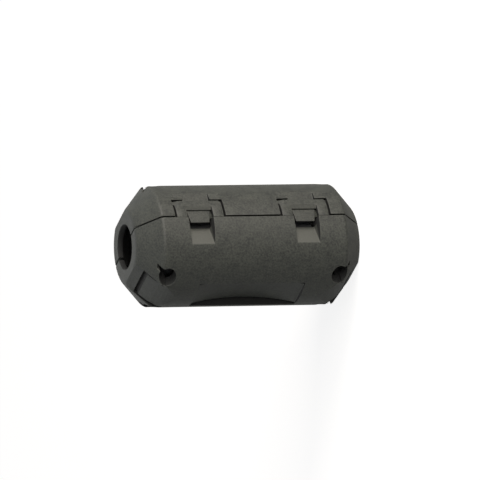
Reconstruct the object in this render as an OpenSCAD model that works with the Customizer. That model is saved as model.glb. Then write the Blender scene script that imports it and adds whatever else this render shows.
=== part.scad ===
// Clip-on ferrite bead: a split ferrite core in a hinged, snap-shut nylon case.
// +Z runs along the cable hole and the bead stands on its lower end face.
// The latches are on the -Y side, the hinge is on the +Y side, and the two
// half shells meet near the plane X = 0: the pocket shell is at -X and stays
// put, the catch shell is at +X and swings open about the hinge.

/* [Case] */
// Outside diameter of the barrel
case_d = 13; // [12.8:0.1:13.4]
// Length of the barrel, face to face
case_l = 25.3; // [25:0.1:30]
// Diameter of the flat end faces
face_d = 7.9; // [7.6:0.1:8.4]
// Length of the chamfer at each end
chamfer_l = 2.35; // [2.2:0.05:2.6]
// Rounding where an end face meets its chamfer
face_edge_r = 1; // [0.3:0.1:1.2]
// Thickness of the barrel wall
wall = 1; // [0.9:0.05:1.1]
// Thickness of the flat end walls
end_wall = 0.6; // [0.5:0.05:0.7]
// Diameter of the cable hole through the end walls and the core
bore_d = 4.8; // [4.4:0.1:5]
// Gap between the two half shells when shut
seam_gap = 0.16; // [0.08:0.02:0.18]
// How far the latch-side seam drops towards the pocket shell
seam_drop = 0.18; // [0.1:0.02:0.24]

/* [Ferrite core] */
// Outside diameter of the core
core_d = 9; // [8.8:0.05:9]
// Length of the core
core_l = 19; // [18.6:0.1:19]
// Chamfer on the core's ends
core_chamfer = 0.3; // [0.1:0.05:0.4]

/* [Latches] */
// Distance of each latch from the middle of the case
latch_out = 5.93; // [5.8:0.01:6.1]
// Width of the latch loop
loop_w = 5.25; // [5.1:0.05:5.4]
// Reach of the loop over the catch shell
loop_reach = 1.96; // [1.9:0.01:2]
// Width of the window in the loop
window_w = 2.9; // [2.86:0.02:3]
// Width of the catch at its shoulder
catch_w = 2.6; // [2.5:0.02:2.76]
// Width of the catch at its tip
catch_tip_w = 2.08; // [1.8:0.02:2.4]

/* [Hinge] */
// Distance of the hinge axis from the cable axis
hinge_out = 6.95; // [6.9:0.05:7]
// Diameter of the hinge pins
pin_d = 1.1; // [1:0.05:1.2]
// Running clearance round the pins, on the radius
pin_clear = 0.05; // [0.03:0.01:0.08]
// Width of each hinge hook
hook_w = 2.4; // [2:0.1:3]
// Thickness of each hinge ear
ear_w = 0.9; // [0.7:0.1:1.2]

/* [Spring leaf] */
// Length of the spring leaf in the back of each shell
leaf_l = 11.9; // [11:0.1:12]
// Width of the spring leaf
leaf_w = 3.8; // [3.6:0.1:4]
// Thickness of the spring leaf
leaf_t = 0.74; // [0.6:0.02:0.74]
// Slit along each side of the leaf
leaf_slit = 0.3; // [0.2:0.05:0.35]
// How far the leaf bows in at its middle
leaf_bow = 0.77; // [0.6:0.01:0.77]

/* [Retaining tabs] */
// Width of the tab that holds each end of the core
tab_w = 3.96; // [3.8:0.02:4]
// Slit round the tab
tab_slit = 0.2; // [0.14:0.02:0.24]
// Gap at the tab's free end
tab_gap = 0.35; // [0.25:0.05:0.4]
// Diameter of the relief holes at the tab's root
relief_d = 1.84; // [1.7:0.02:2]

/* [Hidden] */
$fn = 96;

nylon = [0.16, 0.16, 0.155];
ferrite = [0.27, 0.27, 0.28];

case_r = case_d / 2;
face_r = face_d / 2;
core_r = core_d / 2;
mid_z = case_l / 2;
far = 30;                      // longer than anything that it cuts

// The chamfer's slope, and its line moved in by the wall
chamfer_rise = case_r - face_r;
chamfer_run = norm([chamfer_rise, chamfer_l]);
slope = chamfer_rise / chamfer_l;
cavity_r = case_r - wall;
// Radius of the cavity's sloping end at height z
function cavity_slope_r(z) = face_r + slope * z - wall * chamfer_run / chamfer_l;
cavity_z = (cavity_r - cavity_slope_r(0)) / slope;

shoulder_r = 0.5;              // rounding where a chamfer meets the barrel

// Lap of the seam: the catch shell's rim reaches past X = 0 outside this Y,
// which follows the chamfer near the end faces
lap_y = 4.62;
lap_face_y = face_r - 0.25;
lap_z = (lap_y - lap_face_y) / slope;
hinge_seam_gap = 0.26;         // gap between the end walls on the hinge side
hinge_seam_y = face_r + 0.9;   // that gap's outer end

// Latch surfaces are arcs about the hinge, so that they slide past each other
loop_in_r = hinge_out + 5.9;          // inside of the loop's arms
notch_r = loop_in_r - 0.06;           // floor of the notch that takes the loop
bar_in_r = loop_in_r + 0.15;          // inside of the loop's cross bar
catch_r = bar_in_r - 0.05;            // outside of the catch
bar_x = 0.79;                         // lower edge of the cross bar
shoulder_x = 1.29;                    // the catch ends here, under the bar
bar_bevel_top = [1.3, -6.34];         // the bar thins from here
bar_bevel_foot = [bar_x, -6.1];       // to its lower edge
notch_x = loop_reach + 0.14;          // the notch leaves air round the loop
notch_w = loop_w + 0.42;
nick = 0.25;                          // cut-off corner of the loop
lug_w = 0.17;                         // lug on its other corner
lug_x = 0.4;
facet_in = 0.35;                      // facet on that corner: its place and slant
facet_y = -6.2;
facet_turn = -45;
facet_lean = 26;
loop_sink = 0.04;                     // the loop lies this much under the barrel
tip_x = -0.66;                        // tip of the catch
catch_in_y = -4.95;                   // inner side of the catch at its root
block_w = 5.2;                        // thickening behind the notch
pocket_block_w = 4.1;                 // and behind the pocket
ramp_top = [-0.84, -5.08];            // inner end of the pocket's sloping floor
ramp_foot = [-3.2, -5.66];            // where that floor meets the barrel
pry_w = 3;                            // recess for a fingernail over the loop
pry_x = 3.2;
pry_y = -5.66;

knuckle_r = 1.05;
hook_r = 1.12;
hook_hole_r = pin_d / 2 + pin_clear;
relief = 0.14;                        // air round the hooks and ears
side_gap = 0.1;                       // air between hook and ear
ear_out = hook_w / 2 + side_gap + ear_w;

leaf_y = leaf_w / 2;
leaf_end_x = 6.05;                    // the leaf's outer face at its ends
leaf_arc_r = (pow(leaf_l / 2, 2) + pow(leaf_bow, 2)) / (2 * leaf_bow);
leaf_arc_x = leaf_end_x - leaf_bow + leaf_arc_r;

rib_t = 0.8;                          // ribs that seat the core
rib_out = 7.3;
seat_gap = 0.02;
core_end_z = mid_z - core_l / 2;

relief_y = tab_w / 2 + tab_slit + relief_d / 2 - 0.06;   // the hole opens into the slit
relief_z = mid_z - 9.7;
tab_z = 1.14;                         // free end of the tab
tab_flat_x = 3.38;                    // where the tab's flat meets the end face
tab_blend_r = 4;                      // blends the flat into the barrel
slot_y = relief_y + 0.4;              // short slot on the far side of the hole
slot_w = 0.44;
slot_z = 1.8;

function unit(v) = v / norm(v);
// Arc of radius r that rounds corner b of the outline a, b, c
function rounded(a, b, c, r, steps = 5) =
    let (
        u = unit(a - b),
        v = unit(c - b),
        half = acos(u * v) / 2,
        centre = b + unit(u + v) * r / sin(half),
        first = b + u * r / tan(half) - centre,
        last = b + v * r / tan(half) - centre,
        start = atan2(first[1], first[0]),
        turn = (atan2(last[1], last[0]) - start + 540) % 360 - 180
    )
    [for (i = [0 : steps])
        let (angle = start + turn * i / steps)
        centre + r * [cos(angle), sin(angle)]];

// ---- Placing helpers ----

// Outline in X, Z swept from y0 to y1
module along_y(y0, y1) {
    translate([0, y1, 0]) rotate([90, 0, 0]) linear_extrude(y1 - y0) children();
}

// Outline in Y, Z swept from x0 to x1
module along_x(x0, x1) {
    translate([x0, 0, 0]) rotate([90, 0, 90]) linear_extrude(x1 - x0) children();
}

// Outline in X, Y swept to w / 2 each side of height z
module across(z, w) {
    translate([0, 0, z - w / 2]) linear_extrude(w) children();
}

module at_both_ends() {
    children();
    translate([0, 0, case_l]) mirror([0, 0, 1]) children();
}

module at_latches() {
    for (side = [-1, 1]) translate([0, 0, mid_z + side * latch_out]) children();
}

// Round bar about the hinge axis
module hinge_bar(r, z, w) {
    translate([0, hinge_out, z - w / 2]) cylinder(r = r, h = w);
}

// ---- Barrel ----

module barrel(sink = 0) {
    bottom = [face_r, 0];
    edge = [case_r - sink, chamfer_l];
    top_edge = [case_r - sink, case_l - chamfer_l];
    top = [face_r, case_l];
    rotate_extrude() polygon(concat(
        [[0, 0]],
        rounded([0, 0], bottom, edge, face_edge_r),
        rounded(bottom, edge, top_edge, shoulder_r),
        rounded(edge, top_edge, top, shoulder_r),
        rounded(top_edge, top, [0, case_l], face_edge_r),
        [[0, case_l]]));
}

module cavity() {
    rotate_extrude() polygon([
        [0, end_wall],
        [cavity_slope_r(end_wall), end_wall],
        [cavity_r, cavity_z],
        [cavity_r, case_l - cavity_z],
        [cavity_slope_r(end_wall), case_l - end_wall],
        [0, case_l - end_wall]]);
}

module cable_hole() {
    translate([0, 0, -1]) cylinder(r = bore_d / 2, h = case_l + 2);
}

// All that lies on the catch shell's side of the seam, which drops on the
// latch side and comes back to X = 0 down the chamfers
module beyond_seam(gap) {
    translate([gap, -far / 2, -1]) cube([far, far, case_l + 2]);
    intersection() {
        along_y(-far / 2, 0)
            polygon([[gap, -0.01], [gap - seam_drop, chamfer_l],
                     [gap - seam_drop, case_l - chamfer_l], [gap, case_l + 0.01],
                     [gap + 1, case_l + 0.01], [gap + 1, -0.01]]);
        along_x(-far / 2, far / 2) translate([-gap, 0])
            polygon([[-lap_face_y, -1], [-lap_face_y, 0], [-lap_y, lap_z],
                     [-lap_y, case_l - lap_z], [-lap_face_y, case_l],
                     [-lap_face_y, case_l + 1], [-far / 2, case_l + 1], [-far / 2, -1]]);
    }
}

// Wider gap between the end walls on the hinge side, from the cable hole out
module hinge_side_gap() {
    at_both_ends() translate([-hinge_seam_gap / 2, 0, -1])
        cube([hinge_seam_gap, hinge_seam_y, 2]);
}

// ---- What both shells have ----

// Half rings inside the wall that seat the core
module ribs() {
    for (side = [-1, 1])
        translate([0, 0, mid_z + side * rib_out - rib_t / 2]) difference() {
            cylinder(r = cavity_r + wall / 2, h = rib_t);
            translate([0, 0, -1]) cylinder(r = core_r + seat_gap, h = rib_t + 2);
        }
}

// Opening in the back for the spring leaf
module leaf_opening() {
    along_x(-far / 2, -core_r)
        translate([-leaf_y - leaf_slit, mid_z - leaf_l / 2])
            square([leaf_w + 2 * leaf_slit, leaf_l]);
}

// Leaf bowed in along the case, so that it presses the core to its mate
module spring_leaf() {
    root = 0.4;
    intersection() {
        translate([-leaf_arc_x, -leaf_y, mid_z]) rotate([-90, 0, 0]) difference() {
            cylinder(r = leaf_arc_r + leaf_t, h = leaf_w, $fn = 180);
            translate([0, 0, -1]) cylinder(r = leaf_arc_r, h = leaf_w + 2, $fn = 180);
        }
        translate([-case_r, -leaf_y, mid_z - leaf_l / 2 - root])
            cube([case_r, leaf_w, leaf_l + 2 * root]);
    }
}

// Cuts that free the retaining tab: a gap at its end, a slit along each side
// and a relief hole with a short slot at each root
module tab_cuts() {
    reach = tab_w / 2 + tab_slit;
    along_x(-far / 2, -1.8) {
        translate([-reach, tab_z - tab_gap]) square([2 * reach, tab_gap]);
        for (side = [-1, 1]) mirror([side < 0 ? 1 : 0, 0]) {
            translate([tab_w / 2, tab_z - tab_gap])
                square([tab_slit, relief_z - tab_z + tab_gap]);
            translate([relief_y, relief_z]) circle(r = relief_d / 2, $fn = 48);
            translate([slot_y, slot_z]) square([slot_w, relief_z - slot_z]);
        }
    }
}

// Flat on the tab's side of the chamfer, as wide as the tab beyond its end,
// where it blends into the barrel
module tab_flat() {
    function on_flat(z) = [-tab_flat_x - slope * z, z];
    out = -far / 2;
    low = tab_z - 0.02;
    corner = on_flat((case_r - tab_flat_x) / slope);
    along_y(out, far / 2)
        polygon([on_flat(-1), on_flat(tab_z - tab_gap), [out, tab_z - tab_gap], [out, -1]]);
    along_y(-tab_w / 2 - 0.01, tab_w / 2 + 0.01)
        polygon(concat([on_flat(low)],
                       rounded(on_flat(0), corner, [-case_r, mid_z], tab_blend_r, 8),
                       [[-case_r - 0.01, mid_z], [out, mid_z], [out, low]]));
}

// Hook inside the tab, behind the end of the core
module tab_hook() {
    hook_z = core_end_z - 0.05;
    along_y(-tab_w / 2, tab_w / 2)
        polygon([[-4.7, hook_z - 1.4], [-3.5, hook_z - 0.5], [-3.5, hook_z],
                 [-5.8, hook_z], [-5.8, hook_z - 0.6]]);
}

// Shell blank: wall, end walls and ribs, still all the way round
module blank() {
    difference() {
        union() {
            difference() {
                barrel();
                cavity();
            }
            ribs();
        }
        cable_hole();
    }
}

// Adds the back's leaf and tabs to a shell on the -X side
module with_back() {
    difference() {
        union() {
            difference() {
                children();
                leaf_opening();
            }
            spring_leaf();
            at_both_ends() tab_hook();
        }
        at_both_ends() {
            tab_cuts();
            tab_flat();
        }
    }
}

// ---- Latches ----

// Loop in X, Z about its own middle, with its window
module loop_outline() {
    w = loop_w / 2;
    difference() {
        polygon([[-1, -w], [loop_reach - nick, -w], [loop_reach, -w + nick],
                 [loop_reach, w + lug_w], [loop_reach - lug_x, w + lug_w],
                 [loop_reach - lug_x - lug_w, w], [-1, w]]);
        translate([-1.1, -window_w / 2]) square([1.1 + bar_x, window_w]);
    }
}

// All that is outside the slanting facet on the loop's upper corner
module beyond_facet() {
    translate([loop_reach - facet_in, facet_y, loop_w / 2 - facet_in])
        rotate([0, facet_turn, 0]) rotate([0, 0, facet_lean])
            translate([-2, -3, -2]) cube([4, 3, 4]);
}

module latch_loop() {
    difference() {
        intersection() {
            translate([0, 0, -mid_z]) barrel(loop_sink);
            along_y(-far / 2, 0) loop_outline();
        }
        hinge_bar(loop_in_r, 0, far);
        hinge_bar(bar_in_r, 0, window_w + 0.1);
        across(0, window_w)
            polygon([bar_bevel_top, 2 * bar_bevel_foot - bar_bevel_top,
                     [0, -far / 2], [bar_bevel_top[0], -far / 2]]);
        beyond_facet();
    }
}

// Block behind the pocket, so that its floor and sides are walls
module pocket_block() {
    across(0, pocket_block_w)
        polygon([[ramp_top[0], -5.9], [ramp_top[0], -4.54], [-3.45, -5.15],
                 [-3.76, -4.98], [-3.76, -5.17]]);
}

// Pocket under the loop: a sloping floor, then open to the inside
module pocket_cut() {
    run = ramp_foot - ramp_top;
    outside = ramp_foot + 0.2 * run;
    intersection() {
        across(0, window_w)
            polygon([outside, ramp_top, [ramp_top[0], -4.2], [0.5, -4.2], [0.5, -far / 2],
                     [outside[0], -far / 2]]);
        along_x(-far / 2, far / 2)
            polygon([[-7, -window_w / 2 - 0.02], [-4.2, -window_w / 2 + 0.38],
                     [-4.2, window_w / 2 - 0.38], [-7, window_w / 2 + 0.02]]);
    }
}

// Notch in the catch shell that takes the loop
module notch() {
    difference() {
        translate([-1.5, -far / 2, -notch_w / 2]) cube([1.5 + notch_x, far / 2, notch_w]);
        hinge_bar(notch_r, 0, far);
    }
    translate([1, -far / 2, -pry_w / 2]) cube([pry_x - 1, far / 2 + pry_y, pry_w]);
}

// Block behind the notch, just outside the lap of the seam
module catch_block() {
    translate([seam_gap / 2 - seam_drop, -6, -block_w / 2])
        cube([3, 6 - lap_y - 0.05, block_w]);
}

// Tapered catch that reaches down into the loop's window
module catch() {
    intersection() {
        hinge_bar(catch_r, 0, far);
        across(0, far / 2)
            polygon([[shoulder_x, -far / 2], [tip_x, -far / 2], [tip_x, -5.8],
                     [-0.25, -5.35], [0.15, catch_in_y], [shoulder_x, catch_in_y]]);
        along_y(-far / 2, 0)
            polygon([[shoulder_x, -catch_w / 2], [shoulder_x, catch_w / 2],
                     [bar_x, catch_w / 2], [tip_x, catch_tip_w / 2],
                     [tip_x, -catch_tip_w / 2], [bar_x, -catch_w / 2]]);
    }
}

// ---- Hinge ----

// Round knuckle and the web to the wall on its -X side
module knuckle(r, z, w) {
    hinge_bar(r, z, w);
    lean = r * cos(45);
    across(z, w)
        polygon([[-lean, hinge_out + lean], [-2.95, 5.79], [-2.6, 5.3], [-0.06, 5.75],
                 [-0.06, hinge_out]]);
}

// One hinge: ears and pin on the pocket shell
module hinge_ears() {
    for (side = [-1, 1])
        knuckle(knuckle_r, side * (ear_out - ear_w / 2), ear_w);
    hinge_bar(pin_d / 2, 0, hook_w + 2 * side_gap + ear_w);
}

// Hook on the catch shell, open towards the inside of the case
module hinge_hook() {
    difference() {
        mirror([1, 0, 0]) knuckle(hook_r, 0, hook_w);
        hinge_bar(hook_hole_r, 0, far);
        across(0, far)
            polygon([[0, hinge_out], [-3, hinge_out - 0.9], [-3, hinge_out - 3],
                     [-0.2, hinge_out - 3]]);
    }
}

// ---- Sub-parts ----

module pocket_shell() {
    color(nylon) difference() {
        union() {
            difference() {
                union() {
                    with_back() blank();
                    at_latches() pocket_block();
                }
                beyond_seam(-seam_gap / 2);
                hinge_side_gap();
                at_latches() {
                    pocket_cut();
                    hinge_bar(hook_r + relief, 0, hook_w + 2 * side_gap);
                }
            }
            at_latches() {
                latch_loop();
                hinge_ears();
            }
        }
        translate([0, 0, core_end_z]) cylinder(r = core_r + seat_gap, h = core_l);
    }
}

module catch_shell() {
    color(nylon) difference() {
        union() {
            difference() {
                intersection() {
                    union() {
                        mirror([1, 0, 0]) with_back() blank();
                        at_latches() catch_block();
                    }
                    beyond_seam(seam_gap / 2);
                }
                hinge_side_gap();
                at_latches() {
                    notch();
                    hinge_bar(hook_hole_r, 0, hook_w);
                    for (side = [-1, 1])
                        hinge_bar(knuckle_r + relief, side * (ear_out - ear_w / 2),
                                  ear_w + 2 * side_gap);
                }
            }
            at_latches() {
                catch();
                hinge_hook();
            }
        }
        translate([0, 0, core_end_z]) cylinder(r = core_r + seat_gap, h = core_l);
    }
}

// Whole core: a tube with chamfered ends
module core_tube() {
    c = core_chamfer;
    top = core_end_z + core_l;
    bore_r = bore_d / 2;
    rotate_extrude() polygon([
        [bore_r + c, core_end_z], [core_r - c, core_end_z], [core_r, core_end_z + c],
        [core_r, top - c], [core_r - c, top], [bore_r + c, top],
        [bore_r, top - c], [bore_r, core_end_z + c]]);
}

// Half of the core on the side given: -1 or 1
module core_half(side) {
    color(ferrite) intersection() {
        core_tube();
        translate([side > 0 ? 0.01 : -far - 0.01, -far / 2, 0]) cube([far, far, far]);
    }
}

module pocket_core() {
    core_half(-1);
}

module catch_core() {
    core_half(1);
}

pocket_shell();
catch_shell();
pocket_core();
catch_core();
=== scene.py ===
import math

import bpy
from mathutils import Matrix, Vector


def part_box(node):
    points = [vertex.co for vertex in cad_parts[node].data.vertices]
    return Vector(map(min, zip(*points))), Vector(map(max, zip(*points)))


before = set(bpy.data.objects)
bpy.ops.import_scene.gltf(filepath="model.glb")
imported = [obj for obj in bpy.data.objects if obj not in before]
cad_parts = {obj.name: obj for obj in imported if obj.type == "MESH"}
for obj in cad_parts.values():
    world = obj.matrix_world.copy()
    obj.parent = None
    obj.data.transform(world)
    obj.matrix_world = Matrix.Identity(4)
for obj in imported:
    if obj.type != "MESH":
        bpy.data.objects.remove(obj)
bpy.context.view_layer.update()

# A clip-on ferrite bead standing on its end face: two moulded nylon half
# shells round a split ferrite core. Lengths are in metres, unless a name
# ends in _mm.

MM = 0.001

# The case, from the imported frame
SHELLS = ["pocket_shell", "catch_shell"]
CORES = ["pocket_core", "catch_core"]
case_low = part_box("pocket_shell")[0]
case_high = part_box("pocket_shell")[1]
CASE_LENGTH = case_high.z - case_low.z
CASE_RADIUS = -case_low.x
CASE_MIDDLE = Vector((0, 0, case_low.z + CASE_LENGTH / 2))
FACE_RADIUS = 3.95 * MM   # of the flat end faces
HOLE_RADIUS = 2.4 * MM    # of the cable hole
CHAMFER_LENGTH = 2.35 * MM
LATCH_OUT = 5.93 * MM     # distance of each latch from the middle

# The view: the cable hole's axis lies across it
VIEW_AZIMUTH = -31
VIEW_ELEVATION = 19
VIEW_TILT = 0.81          # degrees by which the axis climbs to the right
VIEW_DISTANCE = 1.0
VIEW_WIDTH = 0.05142      # what the view's width takes in, at the bead
VIEW_SHIFT = (0.345 * MM, 0.59 * MM)   # how far the bead sits left and low
SENSOR_WIDTH = 36

EDGE_RADIUS = 0.06 * MM   # what the mould leaves on the nylon's edges
CORE_EDGE_RADIUS = 0.08 * MM

FLOOR_PAINTED_LIGHT = 0.88         # how strongly the latch pockets' floors are painted paler, as painted light
BAR_WEAR = 0.4            # how hard the catches rub the bars of the loops

PAPER_GLOW = 0.85         # what the camera sees of the floor's own white
PAPER_MIRRORED = 0.25     # what the bead mirrors of it
SKYLIGHT = 0.06


# ---- Colour and node helpers ----

def linear(hex_colour, alpha=1.0):
    """An sRGB hex colour as the linear RGBA that Blender's sockets take."""
    channels = []
    for place in (1, 3, 5):
        value = int(hex_colour[place:place + 2], 16) / 255
        if value <= 0.04045:
            channels.append(value / 12.92)
        else:
            channels.append(((value + 0.055) / 1.055) ** 2.4)
    return (*channels, alpha)


def add(tree, kind, inputs=None, **settings):
    """Adds a shader node with its settings; each input takes a value or a link.

    A link is a socket, or a node, which stands for its first open output.
    """
    made = tree.nodes.new("ShaderNode" + kind)
    for name, value in settings.items():
        setattr(made, name, value)
    for name, value in (inputs or {}).items():
        if isinstance(value, bpy.types.Node):
            value = next(socket for socket in value.outputs if socket.enabled)
        if isinstance(value, bpy.types.NodeSocket):
            tree.links.new(value, made.inputs[name])
        else:
            made.inputs[name].default_value = value
    return made


def new_tree(owner):
    """The owner's node tree, emptied."""
    owner.use_nodes = True
    owner.node_tree.nodes.clear()
    return owner.node_tree


def cells(size_mm):
    """The scale that gives a noise pattern with features of this size."""
    return 1 / (size_mm * MM)


def set_shades(colour_ramp, *stops):
    """Sets the ramp's two ends, each a position and a hex colour."""
    for element, (position, hex_colour) in zip(colour_ramp.elements, stops):
        element.position = position
        element.color = linear(hex_colour)


# ---- Masks ----

def times(tree, *values):
    """All the values multiplied together."""
    whole = values[0]
    for value in values[1:]:
        whole = add(tree, "Math", {0: whole, 1: value}, operation="MULTIPLY")
    return whole


def within(tree, value, middle, reach):
    """1 where the value is within reach of the middle, and 0 past that."""
    offset = add(tree, "Math", {0: value, 1: middle}, operation="SUBTRACT")
    away = add(tree, "Math", {0: offset}, operation="ABSOLUTE")
    return add(tree, "MapRange", {"Value": away, "From Min": reach - 0.05 * MM,
                                  "From Max": reach, "To Min": 1.0, "To Max": 0.0})


def turned_edge(tree, reach):
    """1 where an edge turns the surface within reach."""
    turned = add(tree, "Bevel", {"Radius": reach}, samples=4)
    straight = add(tree, "NewGeometry").outputs["Normal"]
    along = add(tree, "VectorMath", {0: turned, 1: straight}, operation="DOT_PRODUCT")
    return add(tree, "MapRange", {"Value": along, "From Min": 0.985, "From Max": 0.9})


def at_latches(tree, split, out, width, x, y):
    """1 in a box at each latch, whose X and Y are given as middle and reach."""
    return times(tree, within(tree, out, LATCH_OUT, width / 2),
                 within(tree, split.outputs["X"], *x),
                 within(tree, split.outputs["Y"], *y))


def moulded_places(tree):
    """How pale each place is painted, and the walls of holes and slits.

    The first is the catches' rub on the loop bars, plus painted light on the latch
    pockets' floors, and 0 elsewhere. The second is 1 on a wall, where shade is painted,
    and 0 elsewhere.
    """
    coordinates = add(tree, "TexCoord")
    place = coordinates.outputs["Object"]
    split = add(tree, "SeparateXYZ", {"Vector": place})
    along = add(tree, "Math", {0: split.outputs["Z"], 1: CASE_MIDDLE.z},
                operation="SUBTRACT")
    out = add(tree, "Math", {0: along}, operation="ABSOLUTE")
    from_end = add(tree, "Math", {0: CASE_LENGTH / 2, 1: out}, operation="SUBTRACT")

    # depth under the outer skin, which the chamfers bring in at both ends
    flat = add(tree, "VectorMath", {0: place, 1: (1, 1, 0)}, operation="MULTIPLY")
    radius = add(tree, "VectorMath", {0: flat}, operation="LENGTH")
    skin = add(tree, "MapRange", {"Value": from_end, "From Min": 0,
                                  "From Max": CHAMFER_LENGTH,
                                  "To Min": FACE_RADIUS, "To Max": CASE_RADIUS})
    depth = add(tree, "Math", {0: skin, 1: radius}, operation="SUBTRACT")

    # painted shade: walls lie under the skin and face sideways or inwards, and are
    # painted near black; the flat end faces do too, but only the cable hole's wall
    # counts there
    under_skin = add(tree, "MapRange", {"Value": depth, "From Min": 0.01 * MM,
                                        "From Max": 0.07 * MM})
    outward = add(tree, "VectorMath", {0: flat}, operation="NORMALIZE")
    facing = add(tree, "VectorMath", {0: outward, 1: coordinates.outputs["Normal"]},
                 operation="DOT_PRODUCT")
    sideways = add(tree, "MapRange", {"Value": facing, "From Min": 0.65,
                                      "From Max": 0.45})
    past_face = add(tree, "MapRange", {"Value": from_end, "From Min": 0.3 * MM,
                                       "From Max": 0.4 * MM})
    in_hole = add(tree, "MapRange", {"Value": radius, "From Min": HOLE_RADIUS + 0.1 * MM,
                                     "From Max": HOLE_RADIUS + 0.02 * MM})
    off_face = add(tree, "Math", {0: past_face, 1: in_hole}, operation="MAXIMUM")
    walls = times(tree, under_skin, sideways, off_face)

    # painted light: the latch pockets' floors are painted paler where they sink under
    # the skin
    sunk = add(tree, "MapRange", {"Value": depth, "From Min": 0.05 * MM,
                                  "From Max": 0.1 * MM})
    floors = times(tree, sunk, FLOOR_PAINTED_LIGHT,
                   at_latches(tree, split, out, width=2.6 * MM,
                              x=(-2.1 * MM, 1.25 * MM), y=(-5.3 * MM, 0.5 * MM)))
    bevelled = add(tree, "MapRange", {"Value": depth, "From Min": 0,
                                      "From Max": 0.1 * MM})
    bars = times(tree, bevelled, BAR_WEAR,
                 at_latches(tree, split, out, width=2.9 * MM,
                            x=(1.05 * MM, 0.3 * MM), y=(-6.25 * MM, 0.2 * MM)))
    rubbed_and_painted_light = add(tree, "Math", {0: floors, 1: bars}, operation="MAXIMUM")
    return rubbed_and_painted_light, walls


# ---- Materials ----

def moulded_nylon():
    """Black nylon 66, injection moulded in a spark-eroded cavity.

    The eroded steel leaves a fine dead-matt grain, which spreads the light
    into a soft band over faint flow clouds. Handling rubs the outer edges a
    little paler, and the latch pockets' floors are painted palest as painted
    light. The walls of holes and slits are painted deep black as painted shade, and made
    dull.
    """
    material = bpy.data.materials.new("moulded_black_nylon")
    tree = new_tree(material)
    place = add(tree, "TexCoord").outputs["Object"]

    # spark-eroded grain, drawn at 0.2 mm where the real one is 0.05 mm
    grain = add(tree, "TexNoise", {"Vector": place, "Scale": cells(0.2),
                                   "Detail": 3.0, "Roughness": 0.65})
    # waviness left by the shrinking wall
    sink = add(tree, "TexNoise", {"Vector": place, "Scale": cells(2.4),
                                  "Detail": 1.0})
    # flow clouds in the black, broken up by the grain
    cloud = add(tree, "TexNoise", {"Vector": place, "Scale": cells(1.4),
                                   "Detail": 4.0, "Roughness": 0.7})
    speckle = add(tree, "Mix", {0: 0.72, 2: cloud, 3: grain}, data_type="FLOAT")
    shade = add(tree, "ValToRGB", {"Fac": speckle})
    set_shades(shade.color_ramp, (0.38, "#1a1d1a"), (0.62, "#444741"))

    rubbed_and_painted_light, walls = moulded_places(tree)
    # painted shade: the walls of holes and slits are painted near black
    black = add(tree, "Mix", {0: walls, 6: shade, 7: linear("#0e0f0e")},
                data_type="RGBA")

    # handling has scuffed the outer edges paler; the latch pockets' floors get the same
    # pale colour as painted light, laid over the painted shade of the walls
    open_skin = add(tree, "Math", {0: 1.0, 1: walls}, operation="SUBTRACT")
    edge = times(tree, turned_edge(tree, 0.12 * MM), cloud, open_skin)
    wear_and_painted_light = add(tree, "Math", {0: edge, 1: rubbed_and_painted_light}, operation="MAXIMUM")
    worn_with_painted_light_and_shade = add(tree, "Mix", {0: wear_and_painted_light, 6: black, 7: linear("#535550")},
               data_type="RGBA")

    wavy = add(tree, "Bump", {"Strength": 0.12, "Distance": 0.02 * MM,
                              "Height": sink})
    grained = add(tree, "Bump", {"Strength": 0.8, "Distance": 0.03 * MM,
                                 "Height": grain, "Normal": wavy})
    matt = add(tree, "MapRange", {"Value": grain, "From Min": 0.3, "From Max": 0.7,
                                  "To Min": 0.46, "To Max": 0.72})
    rough = add(tree, "Mix", {0: walls, 2: matt, 3: 0.85}, data_type="FLOAT")
    shader = add(tree, "BsdfPrincipled", {"Base Color": worn_with_painted_light_and_shade, "Roughness": rough,
                                          "IOR": 1.53, "Normal": grained})
    add(tree, "OutputMaterial", {"Surface": shader})
    return material


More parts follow.
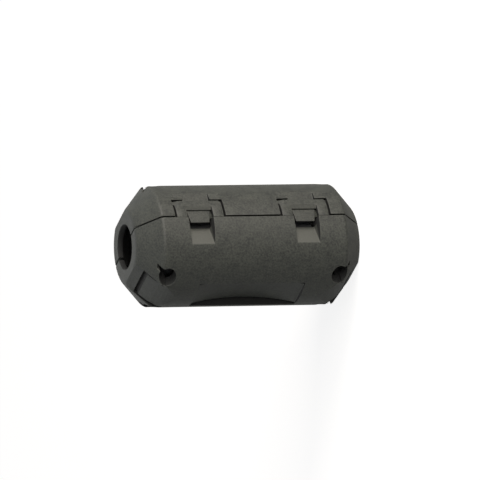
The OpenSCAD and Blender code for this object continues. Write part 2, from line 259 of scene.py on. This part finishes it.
def sintered_ferrite():
    """Nickel-zinc ferrite, pressed and sintered, with ground mating faces.

    The sintered skin is a dull slate grey with open pores. The mating faces
    are ground flat, so they are darker and catch a sheen with fine lines in
    it, and the brittle edges are chipped paler here and there.
    """
    material = bpy.data.materials.new("sintered_ferrite")
    tree = new_tree(material)
    place = add(tree, "TexCoord").outputs["Object"]

    # the pressed powder's pores, and faint blotches from the firing
    grit = add(tree, "TexNoise", {"Vector": place, "Scale": cells(0.12),
                                  "Detail": 4.0, "Roughness": 0.7})
    blotch = add(tree, "TexNoise", {"Vector": place, "Scale": cells(1.6),
                                    "Detail": 2.0})
    shade = add(tree, "ValToRGB", {"Fac": blotch})
    set_shades(shade.color_ramp, (0.35, "#2e2f31"), (0.7, "#3b3c3e"))

    # 1 on the mating faces, which lie at X = 0
    across = add(tree, "SeparateXYZ", {"Vector": place}).outputs["X"]
    off_joint = add(tree, "Math", {0: across}, operation="ABSOLUTE")
    ground = add(tree, "MapRange", {"Value": off_joint, "From Min": 0.02 * MM,
                                    "From Max": 0.03 * MM,
                                    "To Min": 1.0, "To Max": 0.0})
    colour = add(tree, "Mix", {0: ground, 6: shade, 7: linear("#28292b")},
                 data_type="RGBA")
    chips = add(tree, "MapRange", {"Value": blotch, "From Min": 0.42,
                                   "From Max": 0.55})
    edge = times(tree, turned_edge(tree, 0.16 * MM), chips)
    chipped = add(tree, "Mix", {0: edge, 6: colour, 7: linear("#5c5d60")},
                  data_type="RGBA")

    # grinding lines along the core, drawn 0.1 mm apart, coarser than real
    stretched = add(tree, "VectorMath", {0: place, 1: (1, 1, 0.03)},
                    operation="MULTIPLY")
    lines = add(tree, "TexNoise", {"Vector": stretched, "Scale": cells(0.1),
                                   "Detail": 2.0})
    sheen = add(tree, "MapRange", {"Value": lines, "From Min": 0.3, "From Max": 0.7,
                                   "To Min": 0.22, "To Max": 0.4})
    rough = add(tree, "Mix", {0: ground, 2: 0.62, 3: sheen}, data_type="FLOAT")
    pitted = add(tree, "Mix", {0: ground, 2: 0.5, 3: 0.08}, data_type="FLOAT")
    bump = add(tree, "Bump", {"Strength": pitted, "Distance": 0.015 * MM,
                              "Height": grit})
    shader = add(tree, "BsdfPrincipled", {"Base Color": chipped, "Roughness": rough,
                                          "IOR": 1.9, "Normal": bump})
    add(tree, "OutputMaterial", {"Surface": shader})
    return material


def seen_rays(tree):
    """1 for the camera's own rays, and 1 for mirrored and refracted ones."""
    path = add(tree, "LightPath")
    mirrored = add(tree, "Math", {0: path.outputs["Is Glossy Ray"],
                                  1: path.outputs["Is Transmission Ray"]},
                   operation="MAXIMUM")
    return path.outputs["Is Camera Ray"], mirrored


def white_paper():
    """Seamless white paper: flat white to the eye, with the bead's shadow.

    Its glow is for the camera, and what the bead mirrors of it is dimmer.
    """
    material = bpy.data.materials.new("white_paper")
    tree = new_tree(material)
    looked_at, mirrored = seen_rays(tree)
    glow = add(tree, "Math", {0: mirrored, 1: PAPER_MIRRORED,
                              2: times(tree, looked_at, PAPER_GLOW)},
               operation="MULTIPLY_ADD")
    paper = add(tree, "BsdfDiffuse", {"Color": linear("#e6e6e6")})
    light = add(tree, "Emission", {"Color": linear("#ffffff"), "Strength": glow})
    both = add(tree, "AddShader", {0: paper, 1: light})
    add(tree, "OutputMaterial", {"Surface": both})
    return material


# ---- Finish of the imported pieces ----

def soften(piece, radius):
    """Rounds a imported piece's edges with modifiers, leaving its mesh alone."""
    weld = piece.modifiers.new("join_triangles", "WELD")
    weld.merge_threshold = 0.001 * MM
    flat = piece.modifiers.new("whole_faces", "DECIMATE")
    flat.decimate_type = "DISSOLVE"
    flat.angle_limit = math.radians(1)
    bevel = piece.modifiers.new("moulded_edges", "BEVEL")
    bevel.width = radius
    bevel.segments = 2
    bevel.limit_method = "ANGLE"
    bevel.angle_limit = math.radians(30)
    bevel.use_clamp_overlap = False
    piece.modifiers.new("even_shading", "WEIGHTED_NORMAL").keep_sharp = True


def finish(names, material, radius):
    """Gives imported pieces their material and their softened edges."""
    for name in names:
        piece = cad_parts[name]
        piece.data.materials.clear()
        piece.data.materials.append(material)
        soften(piece, radius)


# ---- Studio ----

def turned_frame(azimuth, elevation):
    """Right, up and back of something that faces the bead from there."""
    a, e = math.radians(azimuth), math.radians(elevation)
    right = Vector((math.cos(a), math.sin(a), 0))
    back = Vector((math.sin(a) * math.cos(e), -math.cos(a) * math.cos(e), math.sin(e)))
    return right, back.cross(right), back


def placed(thing, axes, point):
    """Links an object to the scene at a point, with its axes along these three."""
    bpy.context.scene.collection.objects.link(thing)
    thing.matrix_world = (Matrix.Translation(point)
                          @ Matrix(axes).transposed().to_4x4())


def add_camera():
    data = bpy.data.cameras.new("camera")
    data.sensor_width = SENSOR_WIDTH
    data.lens = SENSOR_WIDTH * VIEW_DISTANCE / VIEW_WIDTH
    right, up, back = turned_frame(VIEW_AZIMUTH, VIEW_ELEVATION)
    tilt = math.radians(VIEW_TILT)
    across = -up * math.cos(tilt) - right * math.sin(tilt)
    upward = -up * math.sin(tilt) + right * math.cos(tilt)
    aim = CASE_MIDDLE + across * VIEW_SHIFT[0] + upward * VIEW_SHIFT[1]
    camera = bpy.data.objects.new("camera", data)
    placed(camera, (across, upward, back), aim + back * VIEW_DISTANCE)
    bpy.context.scene.camera = camera


def add_lamp(name, azimuth, elevation, distance, size, watts, colour):
    """A square softbox that faces the bead's middle."""
    data = bpy.data.lights.new(name, "AREA")
    data.size = size
    data.energy = watts
    data.color = linear(colour)[:3]
    axes = turned_frame(azimuth, elevation)
    lamp = bpy.data.objects.new(name, data)
    placed(lamp, axes, CASE_MIDDLE + axes[2] * distance)


def add_floor():
    bpy.ops.mesh.primitive_plane_add(size=3.0, location=(0, 0, case_low.z))
    floor = bpy.context.object
    floor.name = "paper_floor"
    floor.data.materials.append(white_paper())


def add_world():
    """Faint skylight, seen and mirrored as plain white."""
    world = bpy.data.worlds.new("studio")
    bpy.context.scene.world = world
    tree = new_tree(world)
    light = add(tree, "Background", {"Color": linear("#f4f8ff"), "Strength": SKYLIGHT})
    white = add(tree, "Background", {"Color": linear("#ffffff"), "Strength": 1.0})
    looked_at, mirrored = seen_rays(tree)
    shown = add(tree, "Math", {0: looked_at, 1: mirrored}, operation="MAXIMUM")
    mixed = add(tree, "MixShader", {0: shown, 1: light, 2: white})
    add(tree, "OutputWorld", {"Surface": mixed})


bpy.ops.object.select_all(action="DESELECT")
finish(SHELLS, moulded_nylon(), EDGE_RADIUS)
finish(CORES, sintered_ferrite(), CORE_EDGE_RADIUS)

add_camera()
add_world()
add_floor()
add_lamp("key_softbox", azimuth=30, elevation=10, distance=0.4, size=0.2,
         watts=1.3, colour="#fff6ed")
add_lamp("fill_softbox", azimuth=0, elevation=12, distance=0.4, size=0.25,
         watts=0.8, colour="#fff8f0")

bpy.context.scene.view_settings.view_transform = "Standard"
